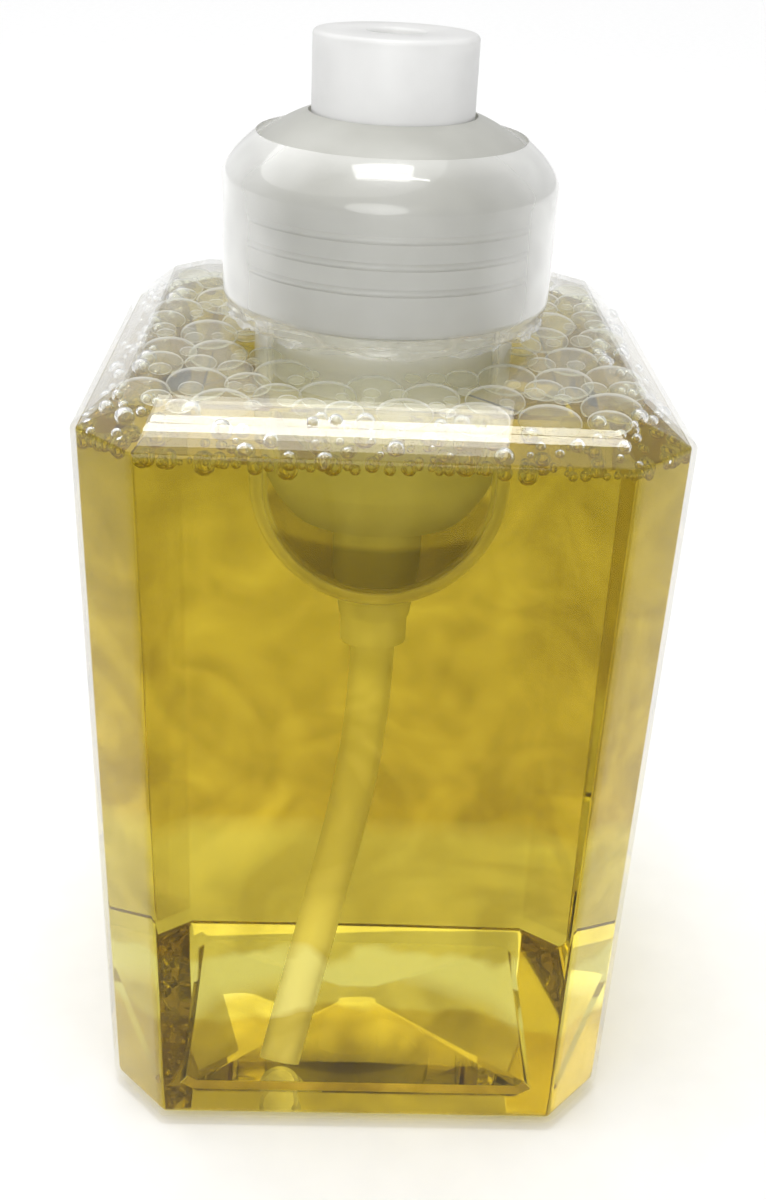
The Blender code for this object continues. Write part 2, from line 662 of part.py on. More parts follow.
def make_head(mat):
    """The head: a round cap with a retaining flange, an outlet and a bore for the cartridge."""
    inside = HEAD_RADIUS - HEAD_WALL
    flange_top = collar_underside(HEAD_RADIUS + HEAD_FLANGE_WIDTH) - SEAT_GAP
    flange_bottom = flange_top - HEAD_FLANGE_THICKNESS
    flange_radius = HEAD_RADIUS + HEAD_FLANGE_WIDTH
    ledge = HEAD_TOP - OUTLET_DEPTH
    tube = CARTRIDGE_BORE + HEAD_WALL
    tube_bottom = STEM_HEAD_HEIGHT + STEM_HEAD_LENGTH / 4
    rounding = HEAD_WALL / 2
    outline = [(HEAD_RADIUS, HEAD_BOTTOM), (HEAD_RADIUS, flange_bottom), (flange_radius, flange_bottom),
               (flange_radius, flange_top), (HEAD_RADIUS, flange_top)]
    outline += arc((HEAD_RADIUS - rounding, HEAD_TOP - rounding), rounding, 0, 90, 2)
    outline += [(OUTLET_RADIUS + rounding, HEAD_TOP), (OUTLET_RADIUS, HEAD_TOP - rounding),
                (OUTLET_RADIUS, ledge), (CARTRIDGE_BORE, ledge), (CARTRIDGE_BORE, tube_bottom),
                (tube, tube_bottom), (tube, HEAD_TOP - 1.5 * HEAD_WALL),
                (inside, HEAD_TOP - 1.5 * HEAD_WALL), (inside, HEAD_BOTTOM)]
    return turned("actuator_head", outline, mat)


# Collar and band

def dome_point(share, offset):
    """A point of the collar's domed shoulder, moved out square to it by an offset."""
    ends = ((COLLAR_RADIUS, COLLAR_SHOULDER), (COLLAR_RADIUS, COLLAR_SHOULDER + DOME_SIDE_PULL),
            (HEAD_HOLE_RADIUS + DOME_TOP_PULL, COLLAR_TOP - DOME_TOP_DROP), (HEAD_HOLE_RADIUS, COLLAR_TOP))
    left = 1 - share
    weights = (left ** 3, 3 * left ** 2 * share, 3 * left * share ** 2, share ** 3)
    slopes = (3 * left ** 2, 6 * left * share, 3 * share ** 2)
    r = sum(w * end[0] for w, end in zip(weights, ends))
    z = sum(w * end[1] for w, end in zip(weights, ends))
    dr = sum(s * (b[0] - a[0]) for s, a, b in zip(slopes, ends, ends[1:]))
    dz = sum(s * (b[1] - a[1]) for s, a, b in zip(slopes, ends, ends[1:]))
    length = math.hypot(dr, dz)
    return r + offset * dz / length, z - offset * dr / length


def dome_section(offset, last=1.0, steps=6):
    return [dome_point(last * step / steps, offset) for step in range(steps + 1)]


def collar_underside(radius):
    """Height of the dome's underside at a radius, found along its section."""
    section = dome_section(-COLLAR_WALL, steps=40)
    for (r0, z0), (r1, z1) in zip(section, section[1:]):
        if r1 <= radius <= r0:
            return z0 + (z1 - z0) * (radius - r0) / (r1 - r0)
    return section[-1][1]


def make_collar(mat):
    """The screw collar: a threaded skirt with raised rings, a pressing ledge and a domed shoulder."""
    outline = [(COLLAR_BORE, COLLAR_BOTTOM), (COLLAR_RADIUS, COLLAR_BOTTOM)]
    for ring in range(RING_COUNT):
        height = COLLAR_BOTTOM + FIRST_RING_RISE + RING_SPACING * ring
        outline += [(COLLAR_RADIUS, height - RING_WIDTH / 2), (COLLAR_RADIUS + RING_PROUD, height),
                    (COLLAR_RADIUS, height + RING_WIDTH / 2)]
    outline += dome_section(0.0)
    inner = [point for point in dome_section(-COLLAR_WALL) if point[0] < AIR_CYLINDER_RADIUS]
    inner[-1] = (HEAD_HOLE_RADIUS, inner[-1][1])
    outline += inner[::-1]
    outline += [(AIR_CYLINDER_RADIUS, collar_underside(AIR_CYLINDER_RADIUS)),
                (AIR_CYLINDER_RADIUS, LEDGE_HEIGHT), (COLLAR_BORE, LEDGE_HEIGHT)]
    collar = turned("screw_collar", outline, mat)
    below = -(THREAD_ROOT_WIDTH + THREAD_CREST_WIDTH) / 2 - SEAT_GAP
    ridge = thread_ridge("collar_thread", COLLAR_BORE, COLLAR_BORE - THREAD_PROUD, below, mat)
    combine(collar, ridge, "UNION")
    return collar


def make_band(mat):
    """The clear shrunk sleeve over the collar and its shoulder."""
    inner_gap = RING_PROUD + SEAT_GAP
    outer_gap = inner_gap + BAND_THICKNESS
    outline = [(COLLAR_RADIUS + inner_gap, BAND_BOTTOM), (COLLAR_RADIUS + outer_gap, BAND_BOTTOM)]
    outline += dome_section(outer_gap, BAND_COVER, 4)
    outline += dome_section(inner_gap, BAND_COVER, 4)[::-1]
    return turned("shrink_band", outline, mat)


def main():
    clear_scene()
    clear_plastic = material("clear_bottle", (0.93, 0.94, 0.90), 0.05, 0.9, 1.57)
    soap = material("yellow_soap", (0.80, 0.66, 0.15), 0.05, 0.8, 1.36)
    froth = material("soap_froth", (0.86, 0.84, 0.72), 0.3, 0.4, 1.33)
    natural = material("natural_plastic", (0.82, 0.83, 0.80), 0.35, 0.4)
    film = material("clear_film", (0.92, 0.92, 0.92), 0.1, 0.9)
    white = material("white_plastic", (0.88, 0.88, 0.84), 0.4)
    seal = material("soft_seal", (0.75, 0.75, 0.74), 0.7)
    steel = material("spring_steel", (0.60, 0.60, 0.60), 0.3)
    steel.node_tree.nodes["Principled BSDF"].inputs["Metallic"].default_value = 1.0

    make_bottle(clear_plastic)
    make_liquid(soap)
    make_froth(froth)
    make_housing(natural)
    make_gasket(seal)
    make_dip_tube(natural)
    make_inlet_ball(steel)
    make_spring(steel)
    make_liquid_piston(white)
    make_air_piston(white)
    make_air_valve(seal)
    make_stem(white)
    make_outlet_ball(steel)
    make_cartridge(white)
    bottom, top = cartridge_span()
    make_mesh_disc("coarse_mesh", bottom - SEAT_GAP - MESH_THICKNESS, 1, white)
    make_mesh_disc("fine_mesh", top + SEAT_GAP, 2, white)
    make_head(natural)
    make_collar(natural)
    make_band(film)


main()
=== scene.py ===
import math
import random

import bmesh
import bpy
import numpy as np
from mathutils import Matrix, Vector, noise


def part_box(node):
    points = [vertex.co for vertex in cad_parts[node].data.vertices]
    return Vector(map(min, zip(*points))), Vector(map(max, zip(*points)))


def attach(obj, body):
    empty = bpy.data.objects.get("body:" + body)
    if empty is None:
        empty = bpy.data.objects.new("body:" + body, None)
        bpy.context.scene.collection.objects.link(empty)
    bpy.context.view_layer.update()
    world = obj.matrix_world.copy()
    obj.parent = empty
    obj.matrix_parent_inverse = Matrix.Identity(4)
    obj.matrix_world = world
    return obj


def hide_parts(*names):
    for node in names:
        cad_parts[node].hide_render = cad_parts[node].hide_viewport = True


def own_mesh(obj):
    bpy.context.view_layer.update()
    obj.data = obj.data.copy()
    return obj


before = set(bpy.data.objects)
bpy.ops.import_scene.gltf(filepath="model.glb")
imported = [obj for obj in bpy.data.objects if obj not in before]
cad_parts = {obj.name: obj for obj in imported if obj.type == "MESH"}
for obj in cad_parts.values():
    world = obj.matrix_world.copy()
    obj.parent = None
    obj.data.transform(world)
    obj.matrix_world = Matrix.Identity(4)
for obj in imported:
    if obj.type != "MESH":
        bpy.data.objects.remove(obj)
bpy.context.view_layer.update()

# Camera, as the photograph was taken
VIEW_PLACE = Vector((-0.0056, -0.1925, 0.1802))
VIEW_YAW = 0.0381
VIEW_PITCH = -0.4966
VIEW_ROLL = 0.0478
VIEW_LENS = 41.15
SENSOR = 36.0

# Bottle; all lengths are in metres
HALF_WIDTH = 0.0400
HALF_DEPTH = 0.03885
CORNER_CHAMFER = 0.0087
EDGE_ROUND = 0.0020
SHOULDER_HEIGHT = 0.1157
BEVEL_INSET = 0.0072
PLATE_HEIGHT = 0.1212
WALL = 0.0008
BASE_WALL = 0.0011
HEEL_RADIUS = 0.0030
FRAME_INSET = 0.0110
PUSH_UP_STEP = 0.0012
PUSH_UP_RISE = 0.0050
APEX_WIDTH = 0.0064
NECK_RADIUS = 0.0204
NECK_BORE = 0.0189
NECK_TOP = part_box("bottle")[1].z
NECK_FILLET = 0.0028
THREAD_PITCH = 0.0042
THREAD_TURNS = 1.5
THREAD_PROUD = 0.0006
THREAD_SUNK = 0.0003
THREAD_ROOT = 0.0014
THREAD_CREST = 0.0006
THREAD_START = 0.1290
LOWER_EASING = 0.0012
UPPER_EASING = 0.0015

# Contents
LIQUID_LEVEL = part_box("liquid_soap")[1].z
WETTING = 0.00005
RIM_TOP = 0.1188
RIM_INSET = 0.0098
RIM_FOOT = 0.0150
RIM_STEP = 0.0012
CELL_FLATNESS = 0.45
CELL_SIZES = (0.0009, 0.0042)
SMALL_BUBBLES = (0.00045, 0.0015)
FINELY_FACETED = 0.0016
PLATE_GAP = 0.0003
UNDER_LEVEL = 0.0008

# Clearances of a bubble, as shares of its radius
PUMP_CLEARANCE = 0.3
SHOULDER_CLEARANCE = 0.8

# Pump housing
CYLINDER_RADIUS = 0.0186
CYLINDER_WALL = 0.0008
BOWL_CENTRE = 0.1009
FLANGE_RADIUS = 0.0206
FLANGE_BOTTOM = 0.1393
FLANGE_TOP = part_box("pump_housing")[1].z
LIQUID_CYLINDER = 0.0064
LIQUID_BORE = 0.0054
LIQUID_CYLINDER_TOP = 0.1060
SPRING_SEAT = 0.0864
SPRING_SEAT_BORE = 0.0040
BALL_ROOM_TOP = 0.0853
BALL_ROOM_RADIUS = 0.0030
ORIFICE_RADIUS = 0.0015
ORIFICE_LENGTH = 0.0008
TAPER_TOP = 0.0879
TAPER_BOTTOM = 0.0800
TAPER_STEP = 0.0003
SOCKET_RADIUS = 0.0049
SOCKET_DEPTH = 0.0044
SOCKET_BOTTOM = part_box("pump_housing")[0].z
SEAT_GAP = 0.0003
COIL_WIRE = 0.0004
COIL_RADIUS = 0.0044
COIL_TURNS = 5
TUBE_RADIUS = 0.0033
TUBE_BORE = 0.0026
TUBE_BEND = 0.0720
TUBE_SLANT = math.radians(27.6)
TUBE_END = 0.0055
TUBE_LEAN = Vector((-0.468, -0.883, 0.0)).normalized()

# Plunger
STROKE = 0.0080
PISTON_RADIUS = 0.0164
PISTON_WALL = 0.0008
PISTON_SWEEP = 0.0175
PISTON_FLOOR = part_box("air_piston")[0].z
PISTON_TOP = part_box("air_piston")[1].z
PISTON_LIP = 0.0032
HUB_BORE = 0.0070
SLEEVE_RADIUS = 0.0045
SLEEVE_BORE = 0.0033
SLEEVE_LENGTH = 0.0032
HEAD_RADIUS = 0.0110
HEAD_WALL = 0.0012
HEAD_ROOF = 0.0018
HEAD_EDGE = 0.0007
HEAD_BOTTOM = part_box("actuator_head")[0].z
HEAD_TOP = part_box("actuator_head")[1].z
HEAD_FLANGE_RADIUS = 0.0123
HEAD_FLANGE_BOTTOM = 0.1475
HEAD_FLANGE_TOP = 0.1485
OUTLET_RADIUS = 0.0037
OUTLET_EDGE = 0.0005
OUTLET_DEPTH = 0.0050
MESH_BORE = 0.0054
MESH_TUBE_RADIUS = 0.0066
MESH_TUBE_BOTTOM = 0.1440

# Collar and film
COLLAR_RADIUS = 0.0222
COLLAR_WALL = 0.0009
COLLAR_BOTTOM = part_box("screw_collar")[0].z
COLLAR_FOOT_EDGE = 0.0002
COLLAR_SHOULDER = 0.1414
COLLAR_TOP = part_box("screw_collar")[1].z
DOME_SIDE_PULL = 0.0026
DOME_TOP_PULL = 0.0046
DOME_TOP_DROP = 0.0014
DOME_STEPS = 24
RING_HEIGHTS = (0.1317, 0.1350, 0.1383)
RING_PROUD = 0.00035
RING_HALF = 0.0005
RING_ROUND = 0.0004
HEAD_HOLE = 0.0114
FILM_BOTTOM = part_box("shrink_band")[0].z
FILM_GAP = 0.00085
FILM_COVER = 0.55
FILM_SIDES = 480
FILM_ROWS = 64
FILM_DOME_ROWS = 16
RIPPLE_DEPTH = 0.00010
PLEAT_DEPTH = 0.0012
PLEAT_PULL = 0.0010
GATHER_RISE = 0.0008
GATHER_RUN = 0.0030
EDGE_ROWS = 4
EDGE_LIFT = 0.0006

# Looks
SOAP_IOR = 1.36
PLASTIC_IOR = 1.49
SUNK_PLASTIC_IOR = 1.10
GRAIN = 0.00002
DRIFT_START = 0.35
WALL_MIRROR = 0.008
SHOULDER_MIRROR = 0.03
MIRROR_POWER = 5.0
MIRROR_FADE = 0.001
# How softly the painted shade under the piston's floor sets in
TINT_FADE = 0.0005
# Heights between which painted shade, for the pump and neck above, darkens the soap to olive towards its
# top
TOP_SHADE_FULL = 0.130
TOP_SHADE_NONE = 0.070
# Heights between which painted light makes the soap pale low at its back
BACK_FOOT_LIGHT_FULL = 0.0190
BACK_FOOT_LIGHT_NONE = 0.0240
HALF_FADE = 0.02
# The arched band of painted light low in the soap's front
GLOW_HEIGHT = 0.0310
GLOW_BOW = 3.0
GLOW_WAVER = 0.010
GLOW_HALF = 0.0055
GLOW_FADE = 0.0015
WORLD_LIGHT = 0.6
FLOOR_HALF = 6.0
FLOOR_DROP = 0.0001

# Sockets of a colour mix node
MIX_SHARE = 0
MIX_FIRST = 6
MIX_SECOND = 7
MIX_RESULT = 2

# Facets
CORNER_STEPS = 8
RING_POINTS = 8 * (CORNER_STEPS + 1)
FINE_STEPS = 96
COLLAR_STEPS = 128
COIL_STEPS = 40
WIRE_SIDES = 10


# Meshes

def arc(centre, radius, start_deg, end_deg, steps):
    """Points of an arc in a section, as (radius from the axis, height)."""
    points = []
    for step in range(steps + 1):
        angle = math.radians(start_deg + (end_deg - start_deg) * step / steps)
        points.append((centre[0] + radius * math.cos(angle), centre[1] + radius * math.sin(angle)))
    return points


def circle_ring(radius, height, steps=RING_POINTS):
    """A level circle, whose points pair up with those of a ring of the body."""
    start = math.pi / 8 - math.pi * CORNER_STEPS / steps
    return [(radius * math.cos(start + 2 * math.pi * i / steps),
             radius * math.sin(start + 2 * math.pi * i / steps), height) for i in range(steps)]


def body_ring(inset, height):
    """A level ring of the square body with cut, rounded corners, moved in by an inset."""
    half_x = HALF_WIDTH - inset
    half_y = HALF_DEPTH - inset
    cut = CORNER_CHAMFER - inset * (2 - math.sqrt(2))
    rounding = max(EDGE_ROUND - inset, EDGE_ROUND / 4)
    setback = rounding * math.tan(math.pi / 8)
    ring = []
    for quarter in range(4):
        along, across = (half_y, half_x) if quarter % 2 else (half_x, half_y)
        turn = quarter * math.pi / 2
        for x, y, heading in ((along, across - cut, 0.0), (along - cut, across, math.pi / 4)):
            centre_x = x - rounding * math.cos(heading) + setback * math.sin(heading)
            centre_y = y - rounding * math.sin(heading) - setback * math.cos(heading)
            for step in range(CORNER_STEPS + 1):
                angle = heading + math.pi / 4 * step / CORNER_STEPS
                px = centre_x + rounding * math.cos(angle)
                py = centre_y + rounding * math.sin(angle)
                ring.append((px * math.cos(turn) - py * math.sin(turn),
                             px * math.sin(turn) + py * math.cos(turn), height))
    return ring


def new_piece(name, bm, material, sharp_deg=30):
    """Finish a bmesh as one smooth-shaded piece with its faces pointing out."""
    bmesh.ops.recalc_face_normals(bm, faces=bm.faces)
    mesh = bpy.data.meshes.new(name)
    bm.to_mesh(mesh)
    bm.free()
    mesh.materials.append(material)
    mesh.shade_smooth()
    mesh.set_sharp_from_angle(angle=math.radians(sharp_deg))
    piece = bpy.data.objects.new(name, mesh)
    bpy.context.scene.collection.objects.link(piece)
    return piece


def skin(bm, rings, closed=False, capped=True):
    """Skin a row of rings inside a bmesh: closed into a loop, capped at both ends, or open."""
    rows = [[bm.verts.new(point) for point in ring] for ring in rings]
    count = len(rings[0])
    pairs = list(zip(rows, rows[1:]))
    if closed:
        pairs.append((rows[-1], rows[0]))
    elif capped:
        bm.faces.new(rows[0])
        bm.faces.new(rows[-1])
    for lower, upper in pairs:
        for i in range(count):
            j = (i + 1) % count
            bm.faces.new((lower[i], lower[j], upper[j], upper[i]))
    return bm


def turned(name, outline, material, steps=FINE_STEPS):
    """A piece turned from a closed outline of (radius, height) points."""
    rings = [circle_ring(r, z, steps) for r, z in outline]
    return new_piece(name, skin(bmesh.new(), rings, closed=True), material)


# Materials

def base_material(name):
    material = bpy.data.materials.new(name)
    material.use_nodes = True
    return material, material.node_tree.nodes, material.node_tree.links


def feed(links, slot, value):
    """Set an input to a plain number, or link a socket to it."""
    if isinstance(value, float):
        slot.default_value = value
    else:
        links.new(value, slot)


def maths(nodes, links, operation, first, second=0.0):
    node = nodes.new("ShaderNodeMath")
    node.operation = operation
    feed(links, node.inputs[0], first)
    feed(links, node.inputs[1], second)
    return node.outputs["Value"]


def ranged(nodes, links, value, start=0.0, end=1.0, low=0.0, high=1.0):
    """A value carried over from one range to another, and held at its ends."""
    node = nodes.new("ShaderNodeMapRange")
    feed(links, node.inputs["Value"], value)
    feed(links, node.inputs["From Min"], start)
    feed(links, node.inputs["From Max"], end)
    feed(links, node.inputs["To Min"], low)
    feed(links, node.inputs["To Max"], high)
    return node.outputs["Result"]


def axis_value(nodes, links, axis):
    """A point's place along an axis of the frame."""
    place = nodes.new("ShaderNodeTexCoord")
    split = nodes.new("ShaderNodeSeparateXYZ")
    links.new(place.outputs["Object"], split.inputs["Vector"])
    return split.outputs[axis]


def axis_share(nodes, links, axis, start, end):
    """A value that climbs from 0 to 1 between two places along an axis."""
    return ranged(nodes, links, axis_value(nodes, links, axis), start, end)


def add_noise(nodes, links, scale, detail=3.0, swirl=0.0):
    """Noise fixed to the piece, whose scale is in cells per metre."""
    place = nodes.new("ShaderNodeTexCoord")
    texture = nodes.new("ShaderNodeTexNoise")
    texture.inputs["Scale"].default_value = scale
    texture.inputs["Detail"].default_value = detail
    texture.inputs["Distortion"].default_value = swirl
    links.new(place.outputs["Object"], texture.inputs["Vector"])
    return texture.outputs["Fac"]


def tinted(nodes, links, low, high, scale, detail=3.0, swirl=0.0):
    """A colour that drifts between two tones over the surface."""
    ramp = nodes.new("ShaderNodeValToRGB")
    ramp.color_ramp.elements[0].position = DRIFT_START
    ramp.color_ramp.elements[0].color = (*low, 1.0)
    ramp.color_ramp.elements[1].position = 1.0 - DRIFT_START
    ramp.color_ramp.elements[1].color = (*high, 1.0)
    links.new(add_noise(nodes, links, scale, detail, swirl), ramp.inputs["Fac"])
    return ramp.outputs["Color"]


def add_bump(nodes, links, shader, scale, distance, detail=2.0):
    bump = nodes.new("ShaderNodeBump")
    bump.inputs["Distance"].default_value = distance
    links.new(add_noise(nodes, links, scale, detail), bump.inputs["Height"])
    links.new(bump.outputs["Normal"], shader.inputs["Normal"])


def slant_value(nodes):
    """0 where a surface is seen face on, climbing to 1 at its edge."""
    slant = nodes.new("ShaderNodeLayerWeight")
    slant.inputs["Blend"].default_value = 0.5
    return slant.outputs["Facing"]


def clear_shader(nodes, tint):
    clear = nodes.new("ShaderNodeBsdfTransparent")
    clear.inputs["Color"].default_value = (*tint, 1.0)
    return clear


def mix_surface(nodes, links, share, first, second):
    """Show one shader where a share is 0 and another where it is 1."""
    mix = nodes.new("ShaderNodeMixShader")
    links.new(share, mix.inputs["Fac"])
    links.new(first.outputs["BSDF"], mix.inputs[1])
    links.new(second.outputs["BSDF"], mix.inputs[2])
    links.new(mix.outputs["Shader"], nodes["Material Output"].inputs["Surface"])


def mixed_tone(nodes, links, share, tone):
    """A mix node that shows a tone where a share is low; its second colour is still to be set."""
    blend = nodes.new("ShaderNodeMix")
    blend.data_type = "RGBA"
    blend.inputs[MIX_FIRST].default_value = (*tone, 1.0)
    links.new(share, blend.inputs[MIX_SHARE])
    return blend


def blend_tone(material, tone, share):
    """Bring in another base colour where a share is low."""
    nodes, links = material.node_tree.nodes, material.node_tree.links
    colour = nodes["Principled BSDF"].inputs["Base Color"]
    blend = mixed_tone(nodes, links, share, tone)
    links.new(colour.links[0].from_socket, blend.inputs[MIX_SECOND])
    links.new(blend.outputs[MIX_RESULT], colour)


def let_lamps_through(nodes, links, shader, tint):
    """Shadow rays pass, tinted, so that what stands behind a clear wall is lit."""
    path = nodes.new("ShaderNodeLightPath")
    mix_surface(nodes, links, path.outputs["Is Shadow Ray"], shader, clear_shader(nodes, tint))


def clear_material(name, low, high, ior, lamp_tint, ripple=0.0, detail=0.0):
    """A clear liquid or gas with a drift of tone and, with a ripple, a slight waviness."""
    material, nodes, links = base_material(name)
    shader = nodes["Principled BSDF"]
    shade = tinted(nodes, links, low, high, scale=45.0, detail=detail, swirl=0.8 * detail)
    links.new(shade, shader.inputs["Base Color"])
    shader.inputs["Roughness"].default_value = 0.0
    shader.inputs["IOR"].default_value = ior
    shader.inputs["Transmission Weight"].default_value = 1.0
    if ripple > 0:
        add_bump(nodes, links, shader, scale=50.0, distance=ripple, detail=0.0)
    let_lamps_through(nodes, links, shader, lamp_tint)
    return material


def air_material(name):
    """Air enclosed in the liquid, whose boundary bends light the other way."""
    return clear_material(name, (0.98, 0.98, 0.96), (1.0, 1.0, 1.0), 1 / SOAP_IOR, (1.0, 1.0, 1.0))


def shell_material(name):
    """Thin clear plastic, which mirrors more the more it is seen at a slant, and most on its shoulder."""
    material, nodes, links = base_material(name)
    shader = nodes["Principled BSDF"]
    shade = tinted(nodes, links, (0.94, 0.95, 0.95), (1.0, 1.0, 1.0), scale=60.0, detail=0.0)
    links.new(shade, shader.inputs["Base Color"])
    shader.inputs["Metallic"].default_value = 1.0
    shader.inputs["Roughness"].default_value = 0.0
    shoulder = axis_share(nodes, links, "Z", SHOULDER_HEIGHT - MIRROR_FADE, SHOULDER_HEIGHT)
    least = ranged(nodes, links, shoulder, low=WALL_MIRROR, high=SHOULDER_MIRROR)
    slant = maths(nodes, links, "POWER", slant_value(nodes), MIRROR_POWER)
    amount = ranged(nodes, links, slant, low=least)
    mix_surface(nodes, links, amount, clear_shader(nodes, (0.985, 0.985, 0.975)), shader)
    return material


def painted_foot_light_band(nodes, links):
    """0 in the arched, uneven band of painted light low in the front, where the far foot lights the soap,
    else 1.
    """
    across = axis_value(nodes, links, "X")
    bow = maths(nodes, links, "MULTIPLY", across, across)
    bow = maths(nodes, links, "MULTIPLY", bow, GLOW_BOW)
    waver = maths(nodes, links, "MULTIPLY", add_noise(nodes, links, scale=110.0, detail=2.0),
                  GLOW_WAVER)
    height = maths(nodes, links, "ADD", axis_value(nodes, links, "Z"), bow)
    height = maths(nodes, links, "ADD", height, waver)
    gap = maths(nodes, links, "SUBTRACT", height, GLOW_HEIGHT + GLOW_WAVER / 2)
    gap = maths(nodes, links, "ABSOLUTE", gap)
    fade = ranged(nodes, links, gap, GLOW_HALF, GLOW_HALF + GLOW_FADE)
    back = axis_share(nodes, links, "Y", -HALF_FADE, 0.0)
    return maths(nodes, links, "MAXIMUM", fade, back)


def liquid_material():
    """Yellow soap, with painted shade that turns it olive towards its top, and painted light that makes
    it pale low at its back and in a band low at its front.
    """
    material = clear_material("soap_liquid", (0.47, 0.355, 0.05), (0.84, 0.67, 0.14), SOAP_IOR,
                              (0.99, 0.985, 0.97), ripple=0.00005, detail=2.0)
    nodes, links = material.node_tree.nodes, material.node_tree.links
    # Painted shade: an olive tone darkens the soap towards its top, under the pump and neck
    blend_tone(material, (0.34, 0.28, 0.03), axis_share(nodes, links, "Z", TOP_SHADE_FULL, TOP_SHADE_NONE))
    # Painted light: a pale tone low at the back, for light that the rounded foot there bends into the
    # soap
    high = axis_share(nodes, links, "Z", BACK_FOOT_LIGHT_FULL, BACK_FOOT_LIGHT_NONE)
    front = axis_share(nodes, links, "Y", HALF_FADE, 0.0)
    blend_tone(material, (1.0, 1.0, 0.85), maths(nodes, links, "MAXIMUM", high, front))
    # Painted light: a pale band low in the front, for light that the far foot bends into the soap
    blend_tone(material, (1.0, 0.96, 0.70), painted_foot_light_band(nodes, links))
    nodes["Principled BSDF"].inputs["Specular Tint"].default_value = (0.2, 0.2, 0.2, 1.0)
    absorb = nodes.new("ShaderNodeVolumeAbsorption")
    absorb.inputs["Color"].default_value = (0.85, 0.80, 0.12, 1.0)
    absorb.inputs["Density"].default_value = 23.0
    links.new(absorb.outputs["Volume"], nodes["Material Output"].inputs["Volume"])
    return material


def frosted_material(name, low, high, roughness, clearness, ior=PLASTIC_IOR):
    """Natural plastic, milky and partly see-through."""
    material, nodes, links = base_material(name)
    shader = nodes["Principled BSDF"]
    links.new(tinted(nodes, links, low, high, scale=90.0), shader.inputs["Base Color"])
    shader.inputs["Roughness"].default_value = roughness
    shader.inputs["IOR"].default_value = ior
    shader.inputs["Transmission Weight"].default_value = clearness
    add_bump(nodes, links, shader, scale=1600.0, distance=GRAIN)
    let_lamps_through(nodes, links, shader, tuple(0.5 + 0.5 * value for value in low))
    return material


def solid_material(name, low, high, roughness, metallic=0.0, grain=GRAIN):
    material, nodes, links = base_material(name)
    shader = nodes["Principled BSDF"]
    links.new(tinted(nodes, links, low, high, scale=120.0), shader.inputs["Base Color"])
    shader.inputs["Roughness"].default_value = roughness
    shader.inputs["Metallic"].default_value = metallic
    add_bump(nodes, links, shader, scale=1200.0, distance=grain)
    return material


def film_material(name, haze, rim, rim_start, rim_end, tint, shine=0.0, painted_shade_tint=None):
    """A thin clear film: nearly unseen face on, pale and glossy at its edge.

    A painted-shade tint darkens what is seen through it below the piston.
    """
    material, nodes, links = base_material(name)
    shader = nodes["Principled BSDF"]
    shade = tinted(nodes, links, (0.90, 0.90, 0.88), (1.0, 1.0, 0.98), scale=200.0, detail=0.0)
    links.new(shade, shader.inputs["Base Color"])
    shader.inputs["Roughness"].default_value = 0.08
    shader.inputs["Metallic"].default_value = shine
    clear = clear_shader(nodes, tint)
    # Painted shade: below the piston's floor what is seen through the film is darkened
    if painted_shade_tint:
        share = axis_share(nodes, links, "Z", PISTON_FLOOR - TINT_FADE, PISTON_FLOOR + TINT_FADE)
        blend = mixed_tone(nodes, links, share, painted_shade_tint)
        blend.inputs[MIX_SECOND].default_value = (*tint, 1.0)
        links.new(blend.outputs[MIX_RESULT], clear.inputs["Color"])
    amount = ranged(nodes, links, slant_value(nodes), rim_start, rim_end, haze, rim)
    mix_surface(nodes, links, amount, clear, shader)
    return material


# Bottle and contents

def push_up_rings(floor):
    """The raised four-sided base, from its blunt apex out to the standing ring."""
    panel = body_ring(FRAME_INSET + PUSH_UP_STEP, floor + PUSH_UP_STEP)
    share = APEX_WIDTH / (2 * (HALF_WIDTH - FRAME_INSET - PUSH_UP_STEP))
    apex = [(x * share, y * share, floor + PUSH_UP_RISE) for x, y, z in panel]
    return [apex, panel, body_ring(FRAME_INSET, floor)]


def heel_rings(inset, floor, steps=8):
    """The rounded edge between the standing ring and the wall."""
    radius = HEEL_RADIUS - inset
    rings = []
    for step in range(steps + 1):
        angle = math.pi / 2 * step / steps
        rings.append(body_ring(inset + radius * (1 - math.sin(angle)),
                               floor + radius * (1 - math.cos(angle))))
    return rings


def eased(before, corner, after, radius, steps=6):
    """Points of an arc that rounds off one corner of a profile of (inset, height) points."""
    first = (Vector(before) - Vector(corner)).normalized()
    second = (Vector(after) - Vector(corner)).normalized()
    half = first.angle(second) / 2
    centre = Vector(corner) + (first + second).normalized() * (radius / math.sin(half))
    start = Vector(corner) + first * (radius / math.tan(half)) - centre
    end = Vector(corner) + second * (radius / math.tan(half)) - centre
    turn = math.atan2(start.x * end.y - start.y * end.x, start.dot(end))
    points = []
    for step in range(steps + 1):
        angle = turn * step / steps
        points.append((centre.x + start.x * math.cos(angle) - start.y * math.sin(angle),
                       centre.y + start.x * math.sin(angle) + start.y * math.cos(angle)))
    return points


def shoulder_rings(inset, drop):
    """The rings of the bevelled shoulder, eased where it leaves the wall and meets the plate."""
    reach = 0.01
    wall = (inset, SHOULDER_HEIGHT - reach)
    hip = (inset, SHOULDER_HEIGHT - drop / 2)
    brow = (BEVEL_INSET, PLATE_HEIGHT - drop)
    plate = (BEVEL_INSET + reach, PLATE_HEIGHT - drop)
    profile = eased(wall, hip, brow, LOWER_EASING - inset) + eased(hip, brow, plate, UPPER_EASING - inset)
    return [body_ring(in_by, height) for in_by, height in profile]


def add_thread(bm):
    """The helical ridge round the neck, seen faintly through the collar."""
    steps = round(THREAD_TURNS * FINE_STEPS)
    root, crest = NECK_RADIUS - THREAD_SUNK, NECK_RADIUS + THREAD_PROUD
    section = ((root, -THREAD_ROOT / 2), (crest, -THREAD_CREST / 2),
               (crest, THREAD_CREST / 2), (root, THREAD_ROOT / 2))
    rings = []
    for step in range(steps + 1):
        angle = 2 * math.pi * step / FINE_STEPS
        height = THREAD_START + THREAD_PITCH * step / FINE_STEPS
        rings.append([(r * math.cos(angle), r * math.sin(angle), height + rise) for r, rise in section])
    skin(bm, rings)


